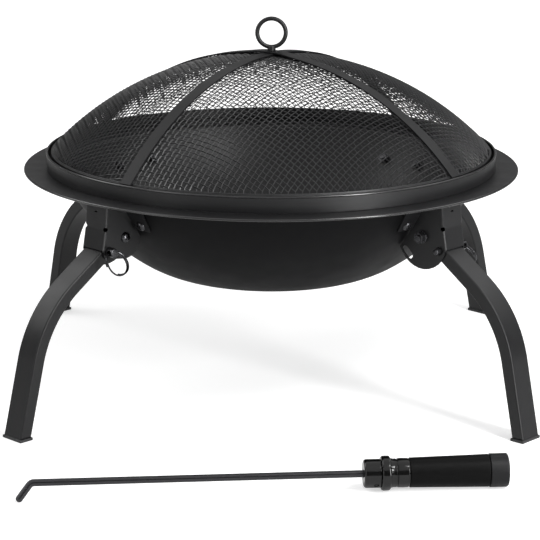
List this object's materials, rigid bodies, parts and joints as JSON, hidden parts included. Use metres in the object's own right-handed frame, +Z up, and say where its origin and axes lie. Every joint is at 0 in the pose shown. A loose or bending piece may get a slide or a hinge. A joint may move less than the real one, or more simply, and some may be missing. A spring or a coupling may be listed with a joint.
{
  "type": "portable fire pit",
  "caption": "Steel fire pit bowl on folding curved legs, with a domed mesh lid lifted by a ring and a poker lying in front.",
  "frame": {"origin": "on the ground, at the centre of the footprint box of the pit and the poker in front of it", "axes": "+Z up, -Y towards the front, where the poker lies, +X to the right seen from the front"},
  "size_m": [0.571, 0.7324, 0.4116],
  "materials": {
    "powder_coat": "satin black powder coat",
    "painted_wire": "satin black paint on wire",
    "black_zinc": "black plating with a soft shine",
    "plated_steel": "dark plated steel, shiny",
    "cap_plastic": "matte moulded",
    "rod_steel": "dark satin",
    "ferrule_enamel": "gloss black enamel",
    "grip_wood": "satin black painted, faint grain"
  },
  "bodies": {
    "base": {"bowl": "powder_coat", "bracket_front_right": "powder_coat", "pivot_bolt_front_right": "plated_steel", "pivot_nut_front_right": "black_zinc", "ear_bolt_front_right_left": "plated_steel", "ear_nut_front_right_left": "black_zinc", "ear_bolt_front_right_right": "plated_steel", "ear_nut_front_right_right": "black_zinc", "bracket_back_right": "powder_coat", "pivot_bolt_back_right": "plated_steel", "pivot_nut_back_right": "black_zinc", "ear_bolt_back_right_left": "plated_steel", "ear_nut_back_right_left": "black_zinc", "ear_bolt_back_right_right": "plated_steel", "ear_nut_back_right_right": "black_zinc", "bracket_back_left": "powder_coat", "pivot_bolt_back_left": "plated_steel", "pivot_nut_back_left": "black_zinc", "ear_bolt_back_left_left": "plated_steel", "ear_nut_back_left_left": "black_zinc", "ear_bolt_back_left_right": "plated_steel", "ear_nut_back_left_right": "black_zinc", "bracket_front_left": "powder_coat", "pivot_bolt_front_left": "plated_steel", "pivot_nut_front_left": "black_zinc", "ear_bolt_front_left_left": "plated_steel", "ear_nut_front_left_left": "black_zinc", "ear_bolt_front_left_right": "plated_steel", "ear_nut_front_left_right": "black_zinc"},
    "leg_front_right_body": {"leg_front_right": "powder_coat", "foot_cap_front_right": "cap_plastic"},
    "pin_front_right_body": {"lock_pin_front_right": "black_zinc"},
    "ring_front_right_body": {"pin_ring_front_right": "plated_steel"},
    "leg_back_right_body": {"leg_back_right": "powder_coat", "foot_cap_back_right": "cap_plastic"},
    "pin_back_right_body": {"lock_pin_back_right": "black_zinc"},
    "ring_back_right_body": {"pin_ring_back_right": "plated_steel"},
    "leg_back_left_body": {"leg_back_left": "powder_coat", "foot_cap_back_left": "cap_plastic"},
    "pin_back_left_body": {"lock_pin_back_left": "black_zinc"},
    "ring_back_left_body": {"pin_ring_back_left": "plated_steel"},
    "leg_front_left_body": {"leg_front_left": "powder_coat", "foot_cap_front_left": "cap_plastic"},
    "pin_front_left_body": {"lock_pin_front_left": "black_zinc"},
    "ring_front_left_body": {"pin_ring_front_left": "plated_steel"},
    "lid_body": {"lid_band": "powder_coat", "lid_mesh": "painted_wire", "upper_strap": "powder_coat", "lower_strap": "powder_coat", "lift_ring": "powder_coat", "lift_nut": "black_zinc"},
    "poker_body": {"poker_rod": "rod_steel", "poker_ferrule": "ferrule_enamel", "poker_grip": "grip_wood"}
  },
  "joints": [
    {"name": "leg_fold_front_right", "type": "hinge", "parent": "base", "child": "leg_front_right_body", "pos_m": [0.17324, -0.07139, 0.1998], "axis": [0.6743, 0.7385, 0], "range_deg": [0, 98]},
    {"name": "pin_pull_front_right", "type": "slide", "parent": "base", "child": "pin_front_right_body", "axis": [0.6743, 0.7385, 0], "range_m": [0, 0.045]},
    {"name": "ring_swing_front_right", "type": "hinge", "parent": "pin_front_right_body", "child": "ring_front_right_body", "pos_m": [0.20493, -0.07067, 0.18772], "axis": [0.7385, -0.6743, 0], "range_deg": [0, 60]},
    {"name": "leg_fold_back_right", "type": "hinge", "parent": "base", "child": "leg_back_right_body", "pos_m": [0.16704, 0.25152, 0.1998], "axis": [-0.7022, 0.712, 0], "range_deg": [0, 98]},
    {"name": "pin_pull_back_right", "type": "slide", "parent": "base", "child": "pin_back_right_body", "axis": [-0.7022, 0.712, 0], "range_m": [0, 0.045]},
    {"name": "ring_swing_back_right", "type": "hinge", "parent": "pin_back_right_body", "child": "ring_back_right_body", "pos_m": [0.16798, 0.2832, 0.18772], "axis": [0.712, 0.7022, 0], "range_deg": [0, 60]},
    {"name": "leg_fold_back_left", "type": "hinge", "parent": "base", "child": "leg_back_left_body", "pos_m": [-0.17324, 0.24499, 0.1998], "axis": [-0.6743, -0.7385, 0], "range_deg": [0, 98]},
    {"name": "pin_pull_back_left", "type": "slide", "parent": "base", "child": "pin_back_left_body", "axis": [-0.6743, -0.7385, 0], "range_m": [0, 0.045]},
    {"name": "ring_swing_back_left", "type": "hinge", "parent": "pin_back_left_body", "child": "ring_back_left_body", "pos_m": [-0.20493, 0.24427, 0.18772], "axis": [-0.7385, 0.6743, 0], "range_deg": [0, 60]},
    {"name": "leg_fold_front_left", "type": "hinge", "parent": "base", "child": "leg_front_left_body", "pos_m": [-0.16704, -0.07792, 0.1998], "axis": [0.7022, -0.712, 0], "range_deg": [0, 98]},
    {"name": "pin_pull_front_left", "type": "slide", "parent": "base", "child": "pin_front_left_body", "axis": [0.7022, -0.712, 0], "range_m": [0, 0.045]},
    {"name": "ring_swing_front_left", "type": "hinge", "parent": "pin_front_left_body", "child": "ring_front_left_body", "pos_m": [-0.16798, -0.1096, 0.18772], "axis": [-0.712, -0.7022, 0], "range_deg": [0, 60]},
    {"name": "lid_lift", "type": "slide", "parent": "base", "child": "lid_body", "axis": [0, 0, 1], "range_m": [0, 0.25]},
    {"name": "poker_lift", "type": "slide", "parent": "base", "child": "poker_body", "axis": [0, 0, 1], "range_m": [0, 0.2]}
  ]
}
